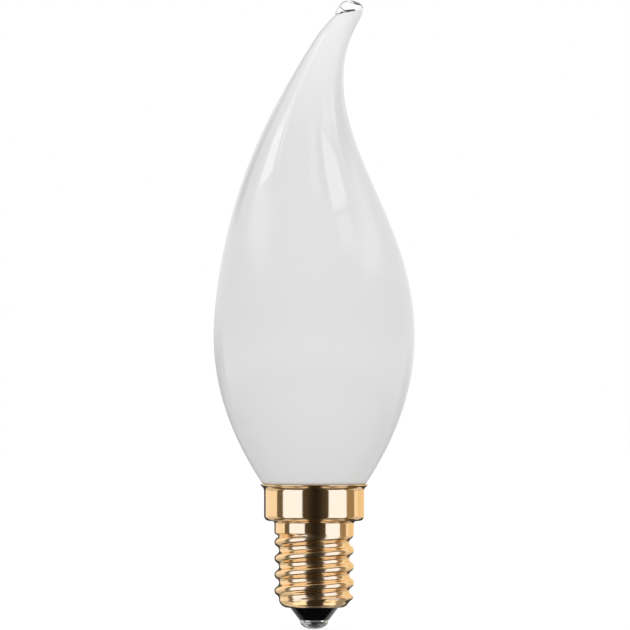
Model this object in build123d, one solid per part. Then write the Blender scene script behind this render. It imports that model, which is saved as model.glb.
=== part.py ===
from build123d import *
import os
import numpy as np

# A frosted bent-tip candle bulb on an E14 screw cap.
# Frame: millimetres, +Z up along the cap's axis, the flame tip leans towards +X.
# The origin is the lowest point of the centre contact, on the cap's axis.

# Glass, heights measured up from the cap's mouth
BULB_DIAMETER = 35.0
BELLY_RISE = 25.72
TIP_RISE = 82.12
STEM_DIAMETER = 4.7
TAPER = 1.93
TIP_LEAN = 6.1
LEAN_POWER = 6.8
BACK_LEAN = 1.5
BACK_POWER = 1.3
BEAD_DIAMETER = 4.8
BEAD_HEIGHT = 2.05
MELT_HEIGHT = 1.2
MOUTH_CLEARANCE = 0.3
NECK_FLARE = 0.6
NECK_LENGTH = 3.0
NECK_ROUND = 1.2
LOWER_LEVELS = 8
UPPER_LEVELS = 24
MELT_LEVELS = 5

# Brass screw shell
SHELL_WALL = 0.25
THREAD_MAJOR = 13.85
THREAD_MINOR = 12.25
THREAD_PITCH = 2.822
THREADED_HEIGHT = 13.35
FIRST_CREST = 1.5
RUN_OUT = 1.2
BAND_HEIGHT = 1.73
FOOT_ROUND = 1.5
FOOT_HOLE = 8.4
FOOT_SEAT = 0.4
COLLAR_DIAMETER = 17.45
COLLAR_HEIGHT = 5.14
COLLAR_ROUND = 0.9
STEP_FILLET = 0.5
FILLET_SINK = 0.02
FLARE_RISE = 1.05
FLARE_REACH = 0.66
THREAD_POINTS = 32
LEVELS_A_TURN = 12
ROUND_LEVELS = 7

# Black glass insulator
CONE_HEIGHT = 2.22
CONE_FOOT = 5.0
FLANGE_HEIGHT = 1.4
FLANGE_CLEARANCE = 0.1

# Centre contact
CONTACT_DIAMETER = 4.88
CONTACT_HEIGHT = 1.47
CONTACT_RIM = 0.2
CONTACT_FLAT = 1.4
PIN_DIAMETER = 1.6
PIN_CLEARANCE = 0.02
PIN_PROUD = 0.6

# Cement between the glass neck and the collar
CEMENT_GAP = 0.45
CEMENT_HEIGHT = 2.0

# Heights and radii that follow from the sizes above
SHELL_FOOT = CONTACT_HEIGHT + CONE_HEIGHT
THREAD_END = SHELL_FOOT + THREADED_HEIGHT
STEP = THREAD_END + BAND_HEIGHT
FLARE_FOOT = STEP + COLLAR_HEIGHT
FLARE_ANGLE = 2 * np.degrees(np.arctan2(FLARE_REACH, FLARE_RISE))
FLARE_RADIUS = FLARE_RISE / np.sin(np.radians(FLARE_ANGLE))
COLLAR_RADIUS = COLLAR_DIAMETER / 2
COLLAR_BORE = COLLAR_RADIUS - SHELL_WALL
FOOT_FLAT = max(THREAD_MINOR / 2 - FOOT_ROUND, FOOT_HOLE / 2 + FOOT_SEAT)
LEDGE = COLLAR_RADIUS - THREAD_MAJOR / 2
COLLAR_TURN = min(COLLAR_ROUND, LEDGE / 2)
STEP_TURN = min(STEP_FILLET, LEDGE / 3)
FLARE_OUTER = FLARE_RADIUS + SHELL_WALL
MOUTH = FLARE_FOOT + FLARE_OUTER * np.sin(np.radians(FLARE_ANGLE))
LIP_BORE = COLLAR_RADIUS + FLARE_RADIUS - FLARE_OUTER * np.cos(np.radians(FLARE_ANGLE))
MOUTH_RADIUS = LIP_BORE - MOUTH_CLEARANCE
NECK_RADIUS = COLLAR_BORE - CEMENT_GAP
NECK_TOP = MOUTH - NECK_FLARE


def turned(*outline):
    """A solid turned about the cap's axis from its (radius, height) outline."""
    face = make_face(Plane.XZ * Polyline(*outline, close=True))
    return revolve(face, Axis.Z)


def smooth(low, high, value):
    """Ease from 0 at low to 1 at high, flat at both ends."""
    share = np.clip((value - low) / (high - low), 0, 1)
    return share * share * (3 - 2 * share)


def stem_lean(share):
    """How far the glass leans, at a share of the way from the belly to the bead.

    A high power sweeps the tip over, and a bump bends the shoulder back first.
    """
    return TIP_LEAN * share**LEAN_POWER - BACK_LEAN * np.sin(np.pi * share**BACK_POWER) ** 2


def glass_level(rise):
    """The level section of the glass at a height above the mouth.

    Returns its lean, half width and half depth. Below the belly the radius is a parabola.
    Above, a bell tapers to the stem, whose round section is cut aslant by the level plane,
    and the last stretch melts into the round bead.
    """
    belly = BULB_DIAMETER / 2
    if rise <= BELLY_RISE:
        radius = belly - (belly - MOUTH_RADIUS) * (1 - rise / BELLY_RISE) ** 2
        return 0.0, radius, radius
    tall = TIP_RISE - BELLY_RISE
    share = (rise - BELLY_RISE) / tall
    stem = STEM_DIAMETER / 2
    radius = stem + (belly - stem) * max(1 - share**TAPER, 0) ** TAPER
    near = 0.001
    slope = (stem_lean(share) - stem_lean(share - near)) / (near * tall)
    melt = max((rise - TIP_RISE + MELT_HEIGHT) / MELT_HEIGHT, 0) ** 2
    bead = BEAD_DIAMETER / 2
    half_width = radius * np.hypot(1, slope) * (1 - melt) + bead * melt
    half_depth = radius * (1 - melt) + bead * melt
    return stem_lean(share), half_width, half_depth


def glass_bulb():
    """The blown glass: a turned neck, the leaning flame and the bead that seals its tip."""
    neck_foot = NECK_TOP - NECK_LENGTH
    neck = turned((0, neck_foot), (NECK_RADIUS, neck_foot), (NECK_RADIUS, NECK_TOP),
                  (MOUTH_RADIUS, MOUTH), (0, MOUTH))
    rim = neck.edges().filter_by(GeomType.CIRCLE).sort_by(Axis.Z)[0]
    neck = fillet(rim, min(NECK_ROUND, NECK_LENGTH / 2))
    rises = np.concatenate([
        np.linspace(0, BELLY_RISE, LOWER_LEVELS, endpoint=False),
        np.linspace(BELLY_RISE, TIP_RISE - MELT_HEIGHT, UPPER_LEVELS, endpoint=False),
        np.linspace(TIP_RISE - MELT_HEIGHT, TIP_RISE, MELT_LEVELS),
    ])
    sections = []
    for rise in rises:
        lean, half_width, half_depth = glass_level(rise)
        sections.append(Pos(lean, 0, MOUTH + rise) * Ellipse(half_width, half_depth))
    flame = loft(sections)
    bead_arc = EllipticalCenterArc((0, 0), BEAD_DIAMETER / 2, BEAD_HEIGHT, 0, arc_size=90)
    bead_axis = Line((0, BEAD_HEIGHT), (0, 0))
    bead_foot = Line((0, 0), (BEAD_DIAMETER / 2, 0))
    bead = revolve(make_face(Plane.XZ * (bead_foot + bead_arc + bead_axis)), Axis.Z)
    return neck + flame + Pos(TIP_LEAN, 0, MOUTH + TIP_RISE) * bead


def thread_radius(angle, height):
    """Radius of the rolled knuckle thread: equal crest and root arcs that meet in a tangent.

    The crests rise out of the root near the foot. The groove dies into the plain band, with
    height and also along its own climb round the shell.
    """
    major = THREAD_MAJOR / 2
    minor = THREAD_MINOR / 2
    half = THREAD_PITCH / 2
    flank = 2 * np.arctan2(major - minor, half)
    arc = half / (2 * np.sin(flank))
    climb = height - SHELL_FOOT - FIRST_CREST - THREAD_PITCH * angle / (2 * np.pi)
    from_crest = np.abs((climb + half) % THREAD_PITCH - half)
    from_root = half - from_crest
    crest = major - arc + np.sqrt(arc**2 - np.minimum(from_crest, half / 2) ** 2)
    root = minor + arc - np.sqrt(arc**2 - np.minimum(from_root, half / 2) ** 2)
    radius = np.where(from_crest < half / 2, crest, root)
    first = SHELL_FOOT + FOOT_ROUND / 2
    risen = minor + (radius - minor) * smooth(first, first + RUN_OUT, height)
    groove = height + half - climb % THREAD_PITCH
    dying = smooth(THREAD_END - RUN_OUT / 3, THREAD_END + RUN_OUT / 3, groove)
    depth = (major - risen) * (1 - smooth(THREAD_END - RUN_OUT, THREAD_END, height)) * (1 - dying)
    return major - depth


def thread_ring(height, inset, share):
    """A level section of the threaded wall as two half rings that run on smoothly.

    The share draws the ring in towards the flat of the foot, for the rounded corner there.
    """
    def points(angles):
        radius = FOOT_FLAT + (thread_radius(angles, height) - inset - FOOT_FLAT) * share
        return np.column_stack([radius * np.cos(angles), radius * np.sin(angles), height + 0 * angles])

    near = np.array([-0.001, 0.001])
    knots = np.linspace(0, 1, int(THREAD_POINTS / 2) + 1)
    halves = []
    for start in (0, np.pi):
        ends = [np.diff(points(angle + near), axis=0)[0] for angle in (start, start + np.pi)]
        spots = [Vector(*spot) for spot in points(start + np.pi * knots)]
        tangents = [Vector(*end).normalized() for end in ends]
        halves.append(Edge.make_spline(spots, tangents=tangents, parameters=knots.tolist()))
    return Face(Wire(halves))


def threaded_plug(inset, top):
    """A solid with the shell's threaded outside, drawn in by the inset, from its foot to a top."""
    foot = SHELL_FOOT + inset
    corner = FOOT_ROUND - inset
    turn = np.radians(np.linspace(0, 90, ROUND_LEVELS))
    wall_levels = int(np.ceil((top - foot - corner) / THREAD_PITCH * LEVELS_A_TURN))
    wall = np.linspace(foot + corner, top, wall_levels + 1)[1:]
    heights = np.concatenate([foot + corner * (1 - np.cos(turn)), wall])
    shares = np.concatenate([np.sin(turn), np.ones(len(wall))])
    return loft([thread_ring(height, inset, share) for height, share in zip(heights, shares)])


def corner(ring, radius, height):
    """The circular edge of a turned ring at this radius and height."""
    spot = Vector(0, 0, height)
    circles = ring.edges().filter_by(GeomType.CIRCLE)
    return circles.filter_by(lambda edge: np.isclose(edge.radius, radius)).sort_by_distance(spot)[0]


def collar():
    """The filleted step, the straight collar and the lip that flares out round the glass.

    The fillet's foot lies a hair inside the band, so that it runs into it at a clear angle.
    """
    hub = THREAD_MAJOR / 2 - SHELL_WALL / 2
    fillet_foot = STEP - STEP_TURN
    fillet_centre = (THREAD_MAJOR / 2 - FILLET_SINK + STEP_TURN, fillet_foot)
    step_fillet = CenterArc(fillet_centre, STEP_TURN, 180, -90)
    centre = (COLLAR_RADIUS + FLARE_RADIUS, FLARE_FOOT)
    outer_flare = CenterArc(centre, FLARE_RADIUS, 180, -FLARE_ANGLE)
    inner_flare = CenterArc(centre, FLARE_OUTER, 180, -FLARE_ANGLE)
    root = Line((hub, fillet_foot), step_fillet @ 0)
    outside = Polyline(step_fillet @ 1, (COLLAR_RADIUS, STEP), outer_flare @ 0)
    lip = Line(outer_flare @ 1, inner_flare @ 1)
    inside = Polyline(inner_flare @ 0, (COLLAR_BORE, STEP + SHELL_WALL), (hub, STEP + SHELL_WALL), (hub, fillet_foot))
    profile = make_face(Plane.XZ * (root + step_fillet + outside + outer_flare + lip + inner_flare + inside))
    ring = revolve(profile, Axis.Z)
    ring = fillet(corner(ring, COLLAR_RADIUS, STEP), COLLAR_TURN)
    return fillet(corner(ring, COLLAR_BORE, STEP + SHELL_WALL), COLLAR_TURN - SHELL_WALL)


def screw_shell():
    """The drawn brass cap: a rolled thread of even wall, open at its foot, under the collar."""
    top = STEP + SHELL_WALL
    tube = threaded_plug(0, top) - threaded_plug(SHELL_WALL, top + SHELL_WALL)
    hole = Pos(0, 0, SHELL_FOOT) * Cylinder(FOOT_HOLE / 2, FOOT_ROUND)
    return tube - hole + collar()


def insulator():
    """The black glass cone under the shell, its neck in the foot hole and its flange inside."""
    bore = (PIN_DIAMETER + PIN_CLEARANCE) / 2
    seat = SHELL_FOOT + SHELL_WALL
    flange = FOOT_FLAT - FLANGE_CLEARANCE
    top = seat + FLANGE_HEIGHT
    return turned((bore, CONTACT_HEIGHT), (CONE_FOOT / 2, CONTACT_HEIGHT), (FOOT_HOLE / 2, SHELL_FOOT),
                  (FOOT_HOLE / 2, seat), (flange, seat), (flange, top), (bore, top))


def centre_contact():
    """The domed metal contact with a small flat, and the pin that holds it in the insulator."""
    radius = CONTACT_DIAMETER / 2
    start = -np.degrees(np.arccos(CONTACT_FLAT / CONTACT_DIAMETER))
    tall = CONTACT_HEIGHT - CONTACT_RIM
    depth = -tall / np.sin(np.radians(start))
    dome = EllipticalCenterArc((0, tall), radius, depth, start, arc_size=-start)
    pin = PIN_DIAMETER / 2
    pin_top = SHELL_FOOT + SHELL_WALL + FLANGE_HEIGHT + PIN_PROUD
    back = Polyline(dome @ 1, (radius, CONTACT_HEIGHT), (pin, CONTACT_HEIGHT), (pin, pin_top),
                    (0, pin_top), (0, 0), dome @ 0)
    return revolve(make_face(Plane.XZ * (dome + back)), Axis.Z)


def capping_cement():
    """The ring of cement that holds the glass neck in the collar."""
    top = NECK_TOP
    foot = top - CEMENT_HEIGHT
    return turned((NECK_RADIUS, foot), (COLLAR_BORE, foot), (COLLAR_BORE, top), (NECK_RADIUS, top))


os.makedirs("parts", exist_ok=True)
for make in (glass_bulb, screw_shell, insulator, centre_contact, capping_cement):
    export_step(make(), f"parts/{make.__name__}.step")
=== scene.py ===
import bpy
import numpy as np
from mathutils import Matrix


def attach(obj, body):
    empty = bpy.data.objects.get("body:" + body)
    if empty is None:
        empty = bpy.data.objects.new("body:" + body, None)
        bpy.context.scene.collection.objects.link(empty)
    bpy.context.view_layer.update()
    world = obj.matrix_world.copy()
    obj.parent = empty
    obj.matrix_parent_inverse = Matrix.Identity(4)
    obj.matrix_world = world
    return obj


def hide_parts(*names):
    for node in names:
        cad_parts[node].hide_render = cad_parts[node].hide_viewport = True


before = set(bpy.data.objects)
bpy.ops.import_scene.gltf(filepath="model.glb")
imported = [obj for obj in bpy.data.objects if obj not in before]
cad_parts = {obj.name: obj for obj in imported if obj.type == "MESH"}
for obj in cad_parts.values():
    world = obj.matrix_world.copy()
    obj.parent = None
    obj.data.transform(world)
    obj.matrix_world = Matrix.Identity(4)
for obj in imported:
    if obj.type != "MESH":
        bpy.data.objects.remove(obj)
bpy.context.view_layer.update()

# A frosted bent-tip candle bulb on an E14 screw cap.
# Sizes are in millimetres, as in the solids, and become metres where a mesh is filled.
MM = 0.001

# Glass, heights measured up from the cap's mouth
BULB_DIAMETER = 35.0
BELLY_RISE = 25.72
TIP_RISE = 82.12
STEM_DIAMETER = 4.7
TAPER = 1.93
TIP_LEAN = 6.1
LEAN_POWER = 6.8
BACK_LEAN = 1.5
BACK_POWER = 1.3
BEAD_DIAMETER = 4.8
BEAD_HEIGHT = 2.05
BEAD_SINK = 0.02
TIP_TILT = np.radians(11)
TILT_DEPTH = 4.0
TIP_DISH = 0.35
MELT_HEIGHT = 1.2
MOUTH_CLEARANCE = 0.3
NECK_FLARE = 0.6
NECK_LENGTH = 3.0
NECK_ROUND = 1.2
CEMENT_GAP = 0.45

# Brass screw shell
SHELL_WALL = 0.25
THREAD_MAJOR = 13.85
THREAD_MINOR = 12.25
THREAD_PITCH = 2.822
THREADED_HEIGHT = 13.35
FIRST_CREST = 1.5
RUN_OUT = 1.2
BAND_HEIGHT = 1.73
FOOT_ROUND = 1.5
FOOT_HOLE = 8.4
COLLAR_DIAMETER = 17.45
COLLAR_HEIGHT = 5.14
COLLAR_ROUND = 0.9
STEP_FILLET = 0.5
FLARE_RISE = 1.05
FLARE_REACH = 0.66

# Depths below the thread's end where the groove starts to fill and where it is full
FILL_START = 1.0
FILL_END = 0.35

# Black glass insulator
CONE_HEIGHT = 2.22
CONE_FOOT = 5.0
FLANGE_HEIGHT = 1.4
FLANGE_CLEARANCE = 0.1
CONE_EDGE = 0.12

# Centre contact
CONTACT_DIAMETER = 4.88
CONTACT_HEIGHT = 1.47
CONTACT_RIM = 0.2
CONTACT_FLAT = 1.4
PIN_DIAMETER = 1.6
PIN_CLEARANCE = 0.02
PIN_PROUD = 0.6

# Heights and radii that follow from the sizes above
SHELL_FOOT = CONTACT_HEIGHT + CONE_HEIGHT
THREAD_END = SHELL_FOOT + THREADED_HEIGHT
STEP = THREAD_END + BAND_HEIGHT
FLARE_FOOT = STEP + COLLAR_HEIGHT
FLARE_ANGLE = 2 * np.arctan2(FLARE_REACH, FLARE_RISE)
FLARE_RADIUS = FLARE_RISE / np.sin(FLARE_ANGLE)
FLARE_OUTER = FLARE_RADIUS + SHELL_WALL
COLLAR_RADIUS = COLLAR_DIAMETER / 2
FOOT_FLAT = THREAD_MINOR / 2 - FOOT_ROUND
LEDGE = COLLAR_RADIUS - THREAD_MAJOR / 2
COLLAR_TURN = min(COLLAR_ROUND, LEDGE / 2)
STEP_TURN = min(STEP_FILLET, LEDGE / 3)
MOUTH = FLARE_FOOT + FLARE_OUTER * np.sin(FLARE_ANGLE)
LIP_BORE = COLLAR_RADIUS + FLARE_RADIUS - FLARE_OUTER * np.cos(FLARE_ANGLE)
MOUTH_RADIUS = LIP_BORE - MOUTH_CLEARANCE
NECK_RADIUS = COLLAR_RADIUS - SHELL_WALL - CEMENT_GAP
NECK_TOP = MOUTH - NECK_FLARE

# Mesh density
GLASS_COLUMNS = 160
SHELL_COLUMNS = 224
SMALL_COLUMNS = 128
LOWER_GLASS_ROWS = 60
UPPER_GLASS_ROWS = 150
MELT_ROWS = 12
DISH_ROWS = 8
BEAD_ROWS = 40
THREAD_ROWS = 150
INNER_THREAD_ROWS = 60
DOME_ROWS = 40
SHARP_CORNER = np.radians(32)


# Node trees

class Value:
    """A number or a vector that a node gives. Python arithmetic on it adds Math nodes."""

    def __init__(self, sheet, socket):
        self.sheet = sheet
        self.socket = socket

    def __add__(self, other):
        return self.sheet.math("ADD", self, other)

    def __rsub__(self, other):
        return self.sheet.math("SUBTRACT", other, self)

    def __mul__(self, other):
        return self.sheet.math("MULTIPLY", self, other)

    __radd__ = __add__
    __rmul__ = __mul__


class NodeSheet:
    """The node tree of one material or of the world, filled from empty."""

    def __init__(self, owner):
        owner.use_nodes = True
        self.tree = owner.node_tree
        self.tree.nodes.clear()

    def node(self, kind, settings=None, sockets=None, out=0):
        """Adds a node, sets its settings, then its sockets, and gives one of its outputs."""
        node = self.tree.nodes.new("ShaderNode" + kind)
        for name, setting in (settings or {}).items():
            setattr(node, name, setting)
        for name, value in (sockets or {}).items():
            if isinstance(value, Value):
                self.tree.links.new(value.socket, node.inputs[name])
            else:
                node.inputs[name].default_value = value
        return Value(self, node.outputs[out]) if node.outputs else None

    def math(self, operation, *values):
        """One sum, difference or product."""
        return self.node("Math", {"operation": operation}, dict(enumerate(values)))

    def clamp(self, value):
        """The value, held between 0 and 1."""
        return self.node("Clamp", {}, {"Value": value})

    def ease(self, value, low, high):
        """Rises smoothly from 0 where the value is low to 1 where it is high."""
        settings = {"interpolation_type": "SMOOTHSTEP"}
        return self.node("MapRange", settings, {"Value": value, "From Min": low, "From Max": high})

    def mix(self, share, first, second):
        """The first colour where the share is 0 and the second where it is 1."""
        return self.node("Mix", {"data_type": "RGBA"}, {0: share, 6: first, 7: second}, out=2)

    def place(self):
        """The point on the piece, in metres."""
        return self.node("TexCoord", out="Object")

    def parts(self, vector):
        """The X, Y and Z of a vector."""
        split = self.node("SeparateXYZ", {}, {0: vector}).socket.node
        return [Value(self, socket) for socket in split.outputs]

    def stretched(self, scale):
        """The point on the piece, with each axis scaled."""
        return self.node("Mapping", {}, {"Vector": self.place(), "Scale": scale})

    def noise(self, vector, scale, detail, roughness=0.5):
        """Soft noise from 0 to 1, with this many cells to a metre."""
        sockets = {"Vector": vector, "Scale": scale, "Detail": detail, "Roughness": roughness}
        return self.node("TexNoise", {}, sockets)

    def bump(self, height, distance, strength):
        """A surface normal for a height from 0 to 1 that stands for this many metres."""
        sockets = {"Height": height, "Distance": distance, "Strength": strength}
        return self.node("Bump", {}, sockets)

    def finish(self, shader, target="OutputMaterial"):
        """Joins the shader to the tree's output."""
        self.node(target, {}, {"Surface": shader})


def colour(red, green, blue):
    """A colour as a socket takes it."""
    return (red, green, blue, 1.0)


def grey(level):
    """The same level of red, green and blue."""
    return (level, level, level)


# Finishes

# Heights on the glass, in metres, between which its colour is painted lighter: painted light
# low on the belly against the shade there, and towards the tip for light coming through it
PAINTED_LOW_LIGHT = (0.038, 0.056)
PAINTED_TIP_LIGHT = (0.082, 0.108)
GLASS_IOR = 1.5


def frosted_glass():
    """White frost seen through a clear glossy skin of glass.

    Its white is painted lighter towards the drawn-out tip, as painted light for the light that
    comes through the slender glass there, and painted lighter low on the belly against the
    shade there. It also has a faint cloud and a fine grain.
    """
    material = bpy.data.materials.new("frosted_glass")
    sheet = NodeSheet(material)
    height = sheet.parts(sheet.place())[2]
    cloud = sheet.noise(sheet.place(), scale=90.0, detail=3.0)
    grain = sheet.noise(sheet.place(), scale=5200.0, detail=2.0)
    # Painted light: lighter low on the belly against its shade, lighter at the tip for light through it
    belly = sheet.ease(height, *PAINTED_LOW_LIGHT)
    painted_tip_share = sheet.ease(height, *PAINTED_TIP_LIGHT)
    white = sheet.mix(belly, colour(*grey(0.91)), colour(*grey(0.835)))
    white = sheet.mix(painted_tip_share, white, colour(*grey(0.98)))
    tone = sheet.mix(cloud, colour(*grey(0.985)), colour(*grey(1.0)))
    frost = sheet.node("VectorMath", {"operation": "MULTIPLY"}, {0: white, 1: tone})
    sheet.finish(sheet.node("BsdfPrincipled", {}, {
        "Base Color": frost,
        "Roughness": 0.45 + 0.2 * grain,
        "Specular IOR Level": 0.0,
        "IOR": GLASS_IOR,
        "Coat Weight": 1.0,
        "Coat Roughness": 0.0,
        "Coat IOR": GLASS_IOR,
        "Normal": sheet.bump(grain, distance=0.00001, strength=0.4),
    }))
    return material


def clear_glass():
    """The clear melted glass of the bead."""
    material = bpy.data.materials.new("clear_glass")
    sheet = NodeSheet(material)
    swirl = sheet.noise(sheet.place(), scale=900.0, detail=1.0)
    sheet.finish(sheet.node("BsdfPrincipled", {}, {
        "Base Color": colour(0.98, 0.985, 0.985),
        "Roughness": 0.0,
        "IOR": GLASS_IOR,
        "Transmission Weight": 1.0,
        "Normal": sheet.bump(swirl, distance=0.00005, strength=0.3),
    }))
    return material


def rolled_brass():
    """Bright brass with fine drawing lines round the axis and a soft cloud.

    It is a little duller where the thread is rolled.
    """
    material = bpy.data.materials.new("rolled_brass")
    sheet = NodeSheet(material)
    height = sheet.parts(sheet.place())[2]
    lines = sheet.noise(sheet.stretched((40.0, 40.0, 9000.0)), scale=1.0, detail=3.0, roughness=0.6)
    cloud = sheet.noise(sheet.place(), scale=260.0, detail=3.0)
    rolled = 1 - sheet.ease(height, (THREAD_END - RUN_OUT) * MM, THREAD_END * MM)
    tone = sheet.clamp(0.7 * cloud + 0.3 * lines)
    sheet.finish(sheet.node("BsdfPrincipled", {}, {
        "Base Color": sheet.mix(tone, colour(0.93, 0.61, 0.30), colour(1.0, 0.69, 0.37)),
        "Metallic": 1.0,
        "Roughness": 0.05 + 0.05 * lines + 0.03 * cloud + 0.08 * rolled,
        "Normal": sheet.bump(lines, distance=0.000004, strength=0.5),
    }))
    return material


def black_glass():
    """Pressed black glass: dull black under a clear fire-polished skin, thinner in a few specks."""
    material = bpy.data.materials.new("black_glass")
    sheet = NodeSheet(material)
    ripple = sheet.noise(sheet.place(), scale=700.0, detail=2.0)
    specks = sheet.ease(sheet.noise(sheet.place(), scale=3500.0, detail=2.0), 0.6, 0.7)
    sheet.finish(sheet.node("BsdfPrincipled", {}, {
        "Base Color": sheet.mix(ripple, colour(*grey(0.002)), colour(*grey(0.005))),
        "Roughness": 0.4 + 0.3 * ripple,
        "Specular IOR Level": 0.0,
        "Coat Weight": 1 - 0.15 * specks,
        "Coat Roughness": 0.0,
        "Coat IOR": GLASS_IOR,
        "Normal": sheet.bump(ripple, distance=0.00003, strength=0.15),
    }))
    return material


def contact_metal():
    """Grey plated metal with turned rings and dull patches."""
    material = bpy.data.materials.new("contact_metal")
    sheet = NodeSheet(material)
    dull = sheet.noise(sheet.place(), scale=900.0, detail=3.0)
    rings = sheet.noise(sheet.stretched((200.0, 200.0, 12000.0)), scale=1.0, detail=2.0)
    sheet.finish(sheet.node("BsdfPrincipled", {}, {
        "Base Color": sheet.mix(dull, colour(*grey(0.58)), colour(0.67, 0.67, 0.66)),
        "Metallic": 1.0,
        "Roughness": 0.2 + 0.12 * dull,
        "Normal": sheet.bump(rings, distance=0.000006, strength=0.5),
    }))
    return material


def cement():
    """Baked cement, pale and gritty."""
    material = bpy.data.materials.new("cement")
    sheet = NodeSheet(material)
    grit = sheet.noise(sheet.place(), scale=2500.0, detail=4.0, roughness=0.6)
    sheet.finish(sheet.node("BsdfPrincipled", {}, {
        "Base Color": sheet.mix(grit, colour(0.66, 0.61, 0.52), colour(0.86, 0.82, 0.74)),
        "Roughness": 0.75 + 0.2 * grit,
        "Normal": sheet.bump(grit, distance=0.00008, strength=0.6),
    }))
    return material


# Surfaces

def skin(name, spots, looped=False):
    """A closed mesh over a grid of points in millimetres.

    Rows follow the profile, and each row runs round the axis and closes on itself. A looped
    profile closes on itself too, and any other has its two ends filled with fans.
    """
    rows, columns = spots.shape[:2]
    index = np.arange(rows * columns).reshape(rows, columns)
    points = spots.reshape(-1, 3)
    low = index
    high = np.roll(index, -1, axis=0)
    if not looped:
        low = low[:-1]
        high = high[:-1]
    quads = np.stack([low, np.roll(low, -1, 1), np.roll(high, -1, 1), high], axis=-1)
    faces = quads.reshape(-1, 4).tolist()
    if not looped:
        points = np.vstack([points, spots[[0, -1]].mean(axis=1)])
        foot = np.full(columns, rows * columns)
        faces += np.column_stack([foot, np.roll(index[0], -1), index[0]]).tolist()
        faces += np.column_stack([foot + 1, index[-1], np.roll(index[-1], -1)]).tolist()
    mesh = bpy.data.meshes.new(name)
    mesh.from_pydata((points * MM).tolist(), [], faces)
    mesh.polygons.foreach_set("use_smooth", np.ones(len(faces), dtype=bool))
    mesh.set_sharp_from_angle(angle=SHARP_CORNER)
    mesh.update()
    piece = bpy.data.objects.new(name, mesh)
    bpy.context.scene.collection.objects.link(piece)
    return piece


def round_angles(columns):
    """Even angles once round the axis."""
    return np.linspace(0, 2 * np.pi, columns, endpoint=False)


def turned(radius, height, columns):
    """Points of a profile turned about the cap's axis."""
    angle = round_angles(columns)
    across = np.asarray(radius)[:, None]
    up = np.asarray(height)[:, None]
    return np.stack([across * np.cos(angle), across * np.sin(angle), up + 0 * angle], axis=-1)


def arc(centre, radius, start, end, count):
    """Points (radius, height) on an arc about a centre, with angles in radians."""
    angle = np.linspace(start, end, count)
    return np.column_stack([centre[0] + radius * np.cos(angle), centre[1] + radius * np.sin(angle)])


def run(start, end, count):
    """Points (radius, height) on a straight run, with its start and without its end."""
    return np.linspace(start, end, count, endpoint=False)


def smooth(low, high, value):
    """Ease from 0 at low to 1 at high, flat at both ends."""
    share = np.clip((value - low) / (high - low), 0, 1)
    return share * share * (3 - 2 * share)


def stem_lean(share):
    """How far the glass leans, at a share of the way from the belly to the bead.

    A high power sweeps the tip over, and a bump bends the shoulder back first.
    """
    share = np.clip(share, 0, 1)
    return TIP_LEAN * share**LEAN_POWER - BACK_LEAN * np.sin(np.pi * share**BACK_POWER) ** 2


def glass_levels(rise):
    """Lean, half width and half depth of the glass at heights above the mouth.

    Below the belly the radius is a parabola. Above, a bell tapers to the stem, whose round
    section is cut aslant by the level plane, and the last stretch melts into the bead.
    """
    belly = BULB_DIAMETER / 2
    stem = STEM_DIAMETER / 2
    bead = BEAD_DIAMETER / 2
    tall = TIP_RISE - BELLY_RISE
    share = np.clip((rise - BELLY_RISE) / tall, 0, 1)
    lower = belly - (belly - MOUTH_RADIUS) * (1 - rise / BELLY_RISE) ** 2
    upper = stem + (belly - stem) * (1 - share**TAPER) ** TAPER
    radius = np.where(rise <= BELLY_RISE, lower, upper)
    near = 0.001
    slope = (stem_lean(share) - stem_lean(share - near)) / (near * tall)
    melt = np.clip((rise - TIP_RISE + MELT_HEIGHT) / MELT_HEIGHT, 0, 1) ** 2
    half_width = radius * np.hypot(1, slope) * (1 - melt) + bead * melt
    half_depth = radius * (1 - melt) + bead * melt
    return stem_lean(share), half_width, half_depth


def tip_tilt(spots):
    """Tilts the seam of the bead: its lean side rises and its other side sinks.

    The shift grows smoothly over the last stretch of the stem and dies out up the bead.
    """
    rise = spots[..., 2] - MOUTH - TIP_RISE
    on_bead = 1 - np.clip(rise / BEAD_HEIGHT, 0, 1) ** 2
    share = np.where(rise > 0, on_bead, smooth(-TILT_DEPTH, 0, rise))
    shift = (spots[..., 0] - TIP_LEAN) * np.tan(TIP_TILT) * share
    return spots + shift[..., None] * np.array([0, 0, 1])


def glass_body():
    """The blown glass: level ellipses that lean with the flame, on a turned neck in the collar.

    Its end under the bead is a shallow dish, as the melted tube leaves a hollow there.
    """
    foot = NECK_TOP - NECK_LENGTH
    corner = arc((NECK_RADIUS - NECK_ROUND, foot + NECK_ROUND), NECK_ROUND, -np.pi / 2, 0, count=8)
    neck = np.vstack([corner, run((NECK_RADIUS, NECK_TOP), (MOUTH_RADIUS, MOUTH), count=4)])
    melt = TIP_RISE - MELT_HEIGHT
    rise = np.concatenate([
        np.linspace(0, BELLY_RISE, LOWER_GLASS_ROWS, endpoint=False),
        np.linspace(BELLY_RISE, melt, UPPER_GLASS_ROWS, endpoint=False),
        np.linspace(melt, TIP_RISE, MELT_ROWS),
    ])
    angle = round_angles(GLASS_COLUMNS)
    lean, half_width, half_depth = (each[:, None] for each in glass_levels(rise))
    flame = np.stack([
        lean + half_width * np.cos(angle),
        half_depth * np.sin(angle),
        MOUTH + rise[:, None] + 0 * angle,
    ], axis=-1)
    across = np.linspace(1, 0, DISH_ROWS, endpoint=False)[1:]
    hollow = MOUTH + TIP_RISE - TIP_DISH * (1 - across**4)
    dish = turned(BEAD_DIAMETER / 2 * across, hollow, GLASS_COLUMNS) + np.array([TIP_LEAN, 0, 0])
    return skin("glass_body", tip_tilt(np.vstack([turned(*neck.T, GLASS_COLUMNS), flame, dish])))


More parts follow.
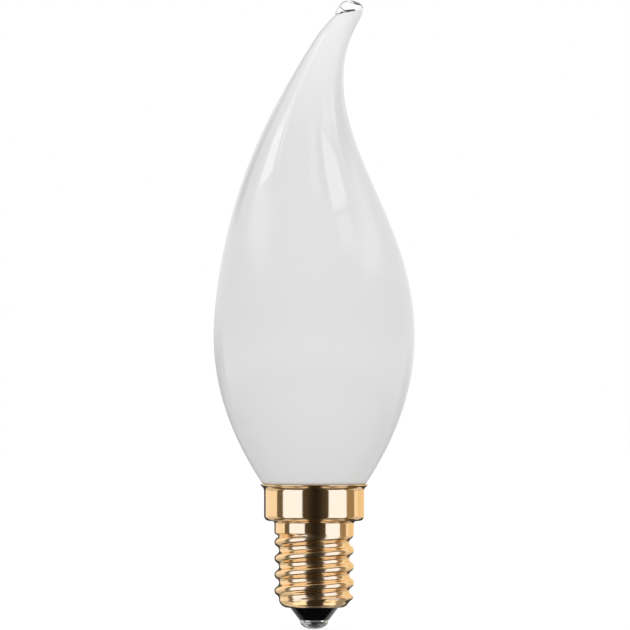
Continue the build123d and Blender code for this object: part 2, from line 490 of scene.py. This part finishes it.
def tip_bead():
    """The clear bead that seals the tip: half an ellipsoid, its rim let a hair into the glass."""
    under = np.array([0.4, 0.8, 0.98, 1.0])
    up = np.linspace(0, np.pi / 2, BEAD_ROWS, endpoint=False)
    radius = BEAD_DIAMETER / 2 * np.concatenate([under, np.cos(up)])
    height = np.concatenate([np.full(len(under), -BEAD_SINK), BEAD_HEIGHT * np.sin(up)])
    spots = turned(radius, MOUTH + TIP_RISE + height, SMALL_COLUMNS)
    return skin("tip_bead", tip_tilt(spots + np.array([TIP_LEAN, 0, 0])))


def thread_radius(angle, height):
    """Radius of the rolled knuckle thread: equal crest and root arcs that meet in a tangent.

    The crests rise out of the root near the foot. The groove ends under the plain band: it fills
    with height, and it also dies along its own climb round the shell.
    """
    major = THREAD_MAJOR / 2
    minor = THREAD_MINOR / 2
    half = THREAD_PITCH / 2
    flank = 2 * np.arctan2(major - minor, half)
    bend = half / (2 * np.sin(flank))
    climb = height - SHELL_FOOT - FIRST_CREST - THREAD_PITCH * angle / (2 * np.pi)
    from_crest = np.abs((climb + half) % THREAD_PITCH - half)
    from_root = half - from_crest
    crest = major - bend + np.sqrt(bend**2 - np.minimum(from_crest, half / 2) ** 2)
    root = minor + bend - np.sqrt(bend**2 - np.minimum(from_root, half / 2) ** 2)
    radius = np.where(from_crest < half / 2, crest, root)
    first = SHELL_FOOT + FOOT_ROUND / 2
    risen = minor + (radius - minor) * smooth(first, first + RUN_OUT, height)
    groove = height + half - climb % THREAD_PITCH
    dying = smooth(THREAD_END, THREAD_END + RUN_OUT / 2, groove)
    filled = smooth(THREAD_END - FILL_START, THREAD_END - FILL_END, height)
    depth = (major - risen) * (1 - filled) * (1 - dying)
    return major - depth


def threaded_wall(inset, top, corner_rows, wall_rows):
    """One side of the threaded wall, from the flat of the foot round its corner and up to a top.

    The corner draws the rings in towards the flat by the sine of its turn.
    """
    foot = SHELL_FOOT + inset
    corner = FOOT_ROUND - inset
    turn = np.linspace(0, np.pi / 2, corner_rows, endpoint=False)
    upright = np.linspace(foot + corner, top, wall_rows)
    height = np.concatenate([foot + corner * (1 - np.cos(turn)), upright])[:, None]
    share = np.concatenate([np.sin(turn), np.ones(wall_rows)])[:, None]
    angle = round_angles(SHELL_COLUMNS)
    wall = thread_radius(angle, height) - inset
    radius = FOOT_FLAT + (wall - FOOT_FLAT) * share
    return np.stack([radius * np.cos(angle), radius * np.sin(angle), height + 0 * angle], axis=-1)


def screw_shell():
    """The drawn brass cap, out along its outside and back along its inside."""
    hole = FOOT_HOLE / 2
    band = THREAD_MAJOR / 2
    bore = COLLAR_RADIUS - SHELL_WALL
    centre = (COLLAR_RADIUS + FLARE_RADIUS, FLARE_FOOT)
    lip_round = SHELL_WALL / 2
    middle = FLARE_RADIUS + lip_round
    flare = (np.pi, np.pi - FLARE_ANGLE + lip_round / middle)
    lip = (centre[0] + middle * np.cos(flare[1]), centre[1] + middle * np.sin(flare[1]))
    lip_turn = (flare[1] - np.pi, flare[1])
    step_centre = (band + STEP_TURN, STEP - STEP_TURN)
    turn_centre = (COLLAR_RADIUS - COLLAR_TURN, STEP + COLLAR_TURN)
    outside = np.vstack([
        arc(step_centre, STEP_TURN, np.pi, np.pi / 2, count=12)[1:],
        arc(turn_centre, COLLAR_TURN, -np.pi / 2, 0, count=14),
        run((COLLAR_RADIUS, STEP + COLLAR_TURN), (COLLAR_RADIUS, FLARE_FOOT), count=12)[1:],
        arc(centre, FLARE_RADIUS, *flare, count=20),
        arc(lip, lip_round, *lip_turn, count=9)[1:-1],
    ])
    small = COLLAR_TURN - SHELL_WALL
    inside = np.vstack([
        arc(centre, FLARE_OUTER, *reversed(flare), count=12),
        arc((bore - small, STEP + SHELL_WALL + small), small, 0, -np.pi / 2, count=6),
        [(band - SHELL_WALL, STEP + SHELL_WALL)],
    ])
    foot = np.array([(hole, SHELL_FOOT + SHELL_WALL), (hole, SHELL_FOOT)])
    return skin("brass_shell", np.vstack([
        turned(*foot.T, SHELL_COLUMNS),
        threaded_wall(0, STEP - STEP_TURN, 12, THREAD_ROWS),
        turned(*outside.T, SHELL_COLUMNS),
        turned(*inside.T, SHELL_COLUMNS),
        threaded_wall(SHELL_WALL, STEP, 5, INNER_THREAD_ROWS)[::-1],
    ]), looped=True)


def eased(outline, edge, count=5):
    """An outline of (radius, height) points with each inner corner cut to a short round.

    A corner becomes a curve of the second degree that starts and ends an edge's length away.
    """
    outline = np.asarray(outline, dtype=float)
    corner = outline[1:-1]
    before = outline[:-2] - corner
    after = outline[2:] - corner
    before = corner + edge * before / np.linalg.norm(before, axis=1)[:, None]
    after = corner + edge * after / np.linalg.norm(after, axis=1)[:, None]
    share = np.linspace(0, 1, count)[None, :, None]
    bends = (1 - share) ** 2 * before[:, None]
    bends = bends + 2 * share * (1 - share) * corner[:, None]
    bends = bends + share**2 * after[:, None]
    return np.vstack([outline[:1], bends.reshape(-1, 2), outline[-1:]])


def insulator_cone():
    """The black glass cone with softened edges, its neck in the foot hole and its flange inside."""
    bore = (PIN_DIAMETER + PIN_CLEARANCE) / 2
    hole = FOOT_HOLE / 2
    seat = SHELL_FOOT + SHELL_WALL
    flange = FOOT_FLAT - FLANGE_CLEARANCE
    top = seat + FLANGE_HEIGHT
    outline = [
        (bore, CONTACT_HEIGHT),
        (CONE_FOOT / 2, CONTACT_HEIGHT),
        (hole, SHELL_FOOT),
        (hole, seat),
        (flange, seat),
        (flange, top),
        (bore, top),
    ]
    rounded = eased(outline, CONE_EDGE)
    return skin("insulator_cone", turned(*rounded.T, SMALL_COLUMNS), looped=True)


def contact_dome():
    """The domed contact: a small flat, an elliptic dome, a short rim and the pin behind it."""
    radius = CONTACT_DIAMETER / 2
    start = -np.arccos(CONTACT_FLAT / CONTACT_DIAMETER)
    tall = CONTACT_HEIGHT - CONTACT_RIM
    depth = -tall / np.sin(start)
    angle = np.linspace(start, 0, DOME_ROWS)
    dome = np.column_stack([radius * np.cos(angle), tall + depth * np.sin(angle)])
    pin = PIN_DIAMETER / 2
    pin_top = SHELL_FOOT + SHELL_WALL + FLANGE_HEIGHT + PIN_PROUD
    back = [(radius, CONTACT_HEIGHT), (pin, CONTACT_HEIGHT), (pin, pin_top)]
    return skin("contact_dome", turned(*np.vstack([dome, back]).T, SMALL_COLUMNS))


# Pieces and the solids that they stand for
DRESSED = (
    (glass_body, frosted_glass, "glass_bulb", "frosted_glass"),
    (tip_bead, clear_glass, "glass_bulb", "frosted_glass"),
    (screw_shell, rolled_brass, "screw_shell", "brass"),
    (insulator_cone, black_glass, "insulator", "black_glass"),
    (contact_dome, contact_metal, "centre_contact", "contact_metal"),
)
dressed = {}
for make, finish, node, slot in DRESSED:
    piece = make()
    piece.data.materials.append(finish())
    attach(piece, "root")
    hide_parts(node)
    dressed[node] = piece

# The cement is hidden, so its solid shows it as it is
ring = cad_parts["capping_cement"]
ring.data.materials.clear()
ring.data.materials.append(cement())


# Stage

# The camera and what it sees, in millimetres
CAMERA_REACH = 2400.0
VIEW_WIDTH = 109.62
VIEW_CENTRE = (0.14, 54.6)

# The floor in metres, how white it shines, and how much of that the camera sees
FLOOR_HALF = 3.0
FLOOR_STEPS = 7
FLOOR_GLOW = 1.09
FLOOR_SHARE = 0.82

# The world's soft light, how it leans, and how far mirrors see it dimmed below the level
SOFT_LEVEL = 0.78
SOFT_TILT = (0.02, -0.31, 0.03)
MIRROR_LOW = 0.3
MIRROR_FADE = (-0.4, -0.04)

# Cards and trays: how far off they stand and at what height, in metres
CARD_STEPS = 25
CARD_REACH = 0.9
NEARER = 0.85
FARTHER = 0.95
FARTHEST = 1.0
CAP_LEVEL = 0.015
FLAME_LEVEL = 0.08
TRAY_LEVEL = -0.004
UNDER_TRAY = -0.0045

# Trays: their inner and outer reaches, in metres
HUB = (0.0, 0.003)
WIDE = (0.003, 0.016)
NEAR_HALF = (0.003, 0.0075)
FAR_HALF = (0.0075, 0.016)
LENS = (0.0078, 0.0125)

# Bearings at which the dark front ends, and climbs that several cards share, in degrees
DARK_FROM = -27.5
DARK_TO = 33.5
FULL = (-83, 83)
PANEL = (-32, 32)
BROW = (32, 49)
SILL = (-50, -32)
LOW = (-80, -15)
RIM_BAND = (-4, 4)

# Light of the cards, where 1 is white
COOL = (1.1, 1.38, 2.2)
BROWN = (0.13, 0.11, 0.075)
DARK = grey(0.05)
BLACK = grey(0.01)

# Cards close round the foot, the contact's rim and the cone, and what the glass and the bead see
FOOT = {"level": 0.004, "reach": 0.016}
RIM = {"level": 0.0014, "reach": 0.0046}
GLASS = {"metal": 0.0, "glass": 1.0}
CONE = {"level": 0.003, "reach": 0.012, **GLASS}
FLAME = {"level": FLAME_LEVEL, **GLASS}
SOFT = {"fades": (0.45, 0.5), "sides": (0.3, 0.5), "reach": FARTHEST, **FLAME}
BEAD = {"level": 0.107, "glass": 1.0, "through": True}


def sheet_mesh(name, steps, place):
    """An open sheet: a square grid of two parameters, placed by a function of both."""
    u, v = np.meshgrid(steps, steps, indexing="ij")
    spots = place(u, v).reshape(-1, 3)
    index = np.arange(u.size).reshape(u.shape)
    faces = np.stack([index[:-1, :-1], index[1:, :-1], index[1:, 1:], index[:-1, 1:]], axis=-1)
    mesh = bpy.data.meshes.new(name)
    mesh.from_pydata(spots.tolist(), [], faces.reshape(-1, 4).tolist())
    spread = np.stack([u, v], axis=-1).reshape(-1, 2)[faces.ravel()]
    mesh.uv_layers.new(name="card").data.foreach_set("uv", spread.ravel())
    mesh.update()
    piece = bpy.data.objects.new(name, mesh)
    bpy.context.scene.collection.objects.link(piece)
    return piece


def floor():
    """A pale floor that the camera sees as near white, with the bulb's soft shadow on it."""
    side = np.linspace(-FLOOR_HALF, FLOOR_HALF, FLOOR_STEPS)
    piece = sheet_mesh("floor", side, lambda u, v: np.stack([u, v, 0 * u], axis=-1))
    material = bpy.data.materials.new("pale_floor")
    sheet = NodeSheet(material)
    pale = sheet.node("BsdfDiffuse", {}, {"Color": colour(*grey(0.94))})
    white = sheet.node("Emission", {}, {"Color": colour(1, 1, 1), "Strength": FLOOR_GLOW})
    seen = sheet.node("LightPath", out="Is Camera Ray")
    sheet.finish(sheet.node("MixShader", {}, {0: FLOOR_SHARE * seen, 1: pale, 2: white}))
    piece.data.materials.append(material)
    piece.visible_glossy = False
    piece.visible_transmission = False


def mirrored(name, place, light, metal=1.0, glass=0.0, fades=(0.0, 0.0), sides=(0.0, 0.0), through=False):
    """A shining sheet of the studio that is seen only in mirrored light, or only through the bead.

    The metal share is how much of it the brass and the contact see, and the glass share is how
    much the smooth outside of the frosted and the black glass sees. It thins out towards its
    lower and upper edges over the fades, and towards its first and last sides over the sides,
    as shares of its height and width.
    """
    piece = sheet_mesh(name, np.linspace(0, 1, CARD_STEPS), place)
    material = bpy.data.materials.new(name)
    sheet = NodeSheet(material)
    shine = sheet.node("Emission", {}, {"Color": colour(*light), "Strength": 1.0})
    clear = sheet.node("BsdfTransparent")
    smooth_glass = sheet.node("LightPath", out="Is Singular Ray")
    seen = metal + (glass - metal) * smooth_glass
    across, up = sheet.parts(sheet.node("UVMap", {"uv_map": "card"}))[:2]
    for spot, edges in ((up, fades), (across, sides)):
        if edges[0]:
            seen = seen * sheet.ease(spot, 0.0, edges[0])
        if edges[1]:
            seen = seen * (1 - sheet.ease(spot, 1 - edges[1], 1.0))
    sheet.finish(sheet.node("MixShader", {}, {0: seen, 1: clear, 2: shine}))
    piece.data.materials.append(material)
    piece.visible_camera = False
    piece.visible_diffuse = False
    piece.visible_shadow = False
    piece.visible_glossy = not through
    piece.visible_transmission = through
    return piece


def between(ends, share):
    """The value at a share of the way from the first end to the last."""
    return ends[0] + (ends[1] - ends[0]) * share


def around(reach, bearing, height):
    """Points at a reach and a bearing in degrees from the camera towards +X, and a height."""
    turn = np.radians(bearing)
    return np.stack([reach * np.sin(turn), -reach * np.cos(turn), height], axis=-1)


def card(name, bearings, climbs, light, level=CAP_LEVEL, reach=CARD_REACH, slant=0.0, **looks):
    """An upright curved sheet round the bulb, between two bearings and two climbs.

    The climbs are in degrees above the level, and rise by the slant from its first bearing to
    its last.
    """
    def place(across, up):
        climb = np.radians(between(climbs, up) + slant * across)
        return around(reach, between(bearings, across), level + reach * np.tan(climb))

    return mirrored(name, place, light, **looks)


def tray(name, bearings, reaches, light, level=TRAY_LEVEL):
    """A flat sheet under the foot: part of a ring round the contact, between two bearings."""
    def place(across, out):
        return around(between(reaches, out), between(bearings, across), level + 0 * across)

    return mirrored(name, place, light)


def only_for(piece, receiver):
    """Lets a card shine on one piece alone. The others see it black."""
    group = bpy.data.collections.new(piece.name + "_for")
    group.objects.link(receiver)
    piece.light_linking.receiver_collection = group


def surroundings():
    """The world: white to the camera, and white in mirrors too but dimmer below the level.

    Other light is soft, and stronger from the camera's side and a little from above.
    """
    world = bpy.data.worlds.new("studio")
    bpy.context.scene.world = world
    sheet = NodeSheet(world)
    way = sheet.node("TexCoord", out="Generated")
    up = sheet.parts(way)[2]
    tilt = sheet.node("VectorMath", {"operation": "DOT_PRODUCT"}, {0: way, 1: SOFT_TILT}, out="Value")
    seen = sheet.node("LightPath", out="Is Camera Ray")
    glossy = sheet.node("LightPath", out="Is Glossy Ray")
    through = sheet.node("LightPath", out="Is Transmission Ray")
    dimmed = MIRROR_LOW + (1 - MIRROR_LOW) * sheet.ease(up, *MIRROR_FADE)
    plain = sheet.clamp(seen + through)
    shown = sheet.clamp(plain + glossy)
    strength = plain + (1 - plain) * (glossy * dimmed + (1 - shown) * (SOFT_LEVEL + tilt))
    light = sheet.node("Background", {}, {"Color": colour(1, 1, 1), "Strength": strength})
    sheet.finish(light, "OutputWorld")


def camera():
    """The photograph's view: level, at half the bulb's height, from far off, looking along +Y."""
    data = bpy.data.cameras.new("camera")
    data.sensor_width = 36.0
    data.lens = data.sensor_width * CAMERA_REACH / VIEW_WIDTH
    data.clip_start = 0.01
    data.clip_end = 20.0
    piece = bpy.data.objects.new("camera", data)
    bpy.context.scene.collection.objects.link(piece)
    piece.location = np.array([VIEW_CENTRE[0], -CAMERA_REACH, VIEW_CENTRE[1]]) * MM
    piece.rotation_euler = (np.pi / 2, 0, 0)
    bpy.context.scene.camera = piece


def cap_cards(brass):
    """What the cap mirrors: a dark front between two bright panels, with brown above and below."""
    card("dark_front", (DARK_FROM, DARK_TO), FULL, (0.075, 0.065, 0.05))
    card("dark_core", (-25, 31), FULL, (0.018, 0.016, 0.016), sides=(0.45, 0.45), reach=NEARER)
    only_for(card("bright_left", (-76.5, DARK_FROM), PANEL, COOL), brass)
    only_for(card("bright_right", (DARK_TO, 80), PANEL, COOL), brass)
    card("brow_left", (-95, DARK_FROM), BROW, BROWN)
    card("brow_right", (DARK_TO, 105.5), BROW, BROWN)
    card("sill_left", (-140, DARK_FROM), SILL, BROWN)
    card("sill_right", (DARK_TO, 150), SILL, BROWN)
    card("dark_left", (-95, -76.5), (-22, 32), (0.155, 0.14, 0.11))
    card("dark_right", (80, 105.5), (-27, 32), (0.35, 0.29, 0.21))
    card("warm_right", (120, 172), (-8, 32), (0.92, 0.8, 0.58))
    card("dark_behind", (-178, -150), (-25, 83), DARK)
    card("dark_low", (150, 178), (-60, -3), DARK)
    card("low_left", (-150, -95), LOW, grey(0.7), reach=FARTHER)
    card("low_right", (95, 150), LOW, grey(0.7), reach=FARTHER)


def foot_cards(brass, contact):
    """What the shell's foot and the contact mirror: small cards and trays close round them."""
    card("foot_edge", (-176, -150), (-65, -5), BLACK, **FOOT)
    card("rim_left", (-58, -26), RIM_BAND, grey(1.5), **RIM)
    card("rim_line", (-26, 44), RIM_BAND, grey(0.3), **RIM)
    card("rim_right", (44, 64), RIM_BAND, grey(2.0), **RIM)
    only_for(card("contact_low", (150, 184), (-42, -10), grey(0.8), **FOOT), contact)
    tray("tray_front", (DARK_FROM, DARK_TO), WIDE, (0.03, 0.027, 0.022))
    tray("tray_hub", (-180, 180), HUB, grey(0.12))
    tray("tray_back", (150, 186), WIDE, grey(0.45))
    tray("tray_left", (-128, -76), WIDE, grey(0.75))
    tray("tray_near", (-174, -128), NEAR_HALF, grey(0.75))
    tray("tray_edge", (-174, -128), FAR_HALF, BLACK)
    tray("tray_right", (80, 150), WIDE, grey(0.36))
    tray("left_lens", (-76, DARK_FROM), LENS, grey(1.35))
    only_for(tray("right_lens", (DARK_TO, 80), LENS, grey(1.35)), brass)
    tray("left_shade", (-76, DARK_FROM), WIDE, grey(0.25), level=UNDER_TRAY)
    tray("right_shade", (DARK_TO, 80), WIDE, grey(0.25), level=UNDER_TRAY)


def glass_cards():
    """What the outside of the glass mirrors: grey below, windows on both shoulders, dark flags."""
    card("grey_behind", (-184, -130), (-60, 7), grey(0.36), fades=(0.0, 0.15), **GLASS)
    card("grey_right", (135, 179), (-60, 3), grey(0.4), fades=(0.0, 0.2), **GLASS)
    card("black_low", (-142, 142), (-83, -8), BLACK, fades=(0.0, 0.2), sides=(0.08, 0.08), **GLASS)
    card("cone_left", (-172, -100), (-55, -5), grey(0.4), sides=(0.05, 0.4), **CONE)
    card("cone_right", (105, 148), (-50, -12), grey(0.8), sides=(0.4, 0.1), **CONE)
    card("left_window", (-98, -76), (25, 36.5), grey(4.2), slant=8.0, fades=(0.1, 0.4), **FLAME)
    card("left_line", (-72, -66), (36, 43.5), grey(2.8), fades=(0.2, 0.2), sides=(0.2, 0.2), **FLAME)
    card("left_soft", (-114, -45), (12, 37), grey(2.4), **SOFT)
    card("right_window", (41, 77), (38, 49), grey(3.0), slant=-3.0,
         fades=(0.15, 0.0), sides=(0.1, 0.1), **FLAME)
    card("right_inner", (5, 24), (41, 46), grey(1.7), fades=(0.3, 0.3), sides=(0.4, 0.15), **FLAME)
    card("right_wedge", (27, 41), (40, 47), grey(0.35), fades=(0.2, 0.2), sides=(0.2, 0.05), **FLAME)
    card("right_haze", (41, 72), (27, 38.3), grey(1.9), slant=-2.5,
         fades=(0.5, 0.1), sides=(0.2, 0.2), **FLAME)
    card("right_soft", (58, 130), (14, 36), grey(2.1), **SOFT)
    card("left_flag", (-138, -113), (-8, 50), grey(0.3), reach=0.05,
         fades=(0.3, 0.2), sides=(0.2, 0.3), **FLAME)
    card("right_flag", (78, 119), (20, 60), DARK, reach=0.03,
         fades=(0.34, 0.2), sides=(0.1, 0.1), **FLAME)
    card("stem_shade", (-176, -112), (0, 65), grey(0.3), level=0.1, reach=0.03,
         fades=(0.2, 0.0), **GLASS)


def bead_cards():
    """What shows through the clear bead: dark outlines above, at its left and along its seam."""
    card("bead_ceiling", (-180, 180), (52, 86), BLACK, **BEAD)
    card("bead_left", (-150, -50), (10, 52), BLACK, **BEAD)
    card("bead_seam_left", (112, 163), (-2, 9), BLACK, **BEAD)
    card("bead_seam", (164, 197), (-6.5, 3.5), BLACK, **BEAD)


camera()
surroundings()
floor()
cap_cards(dressed["screw_shell"])
foot_cards(dressed["screw_shell"], dressed["centre_contact"])
glass_cards()
bead_cards()
bpy.context.scene.view_settings.view_transform = "Standard"
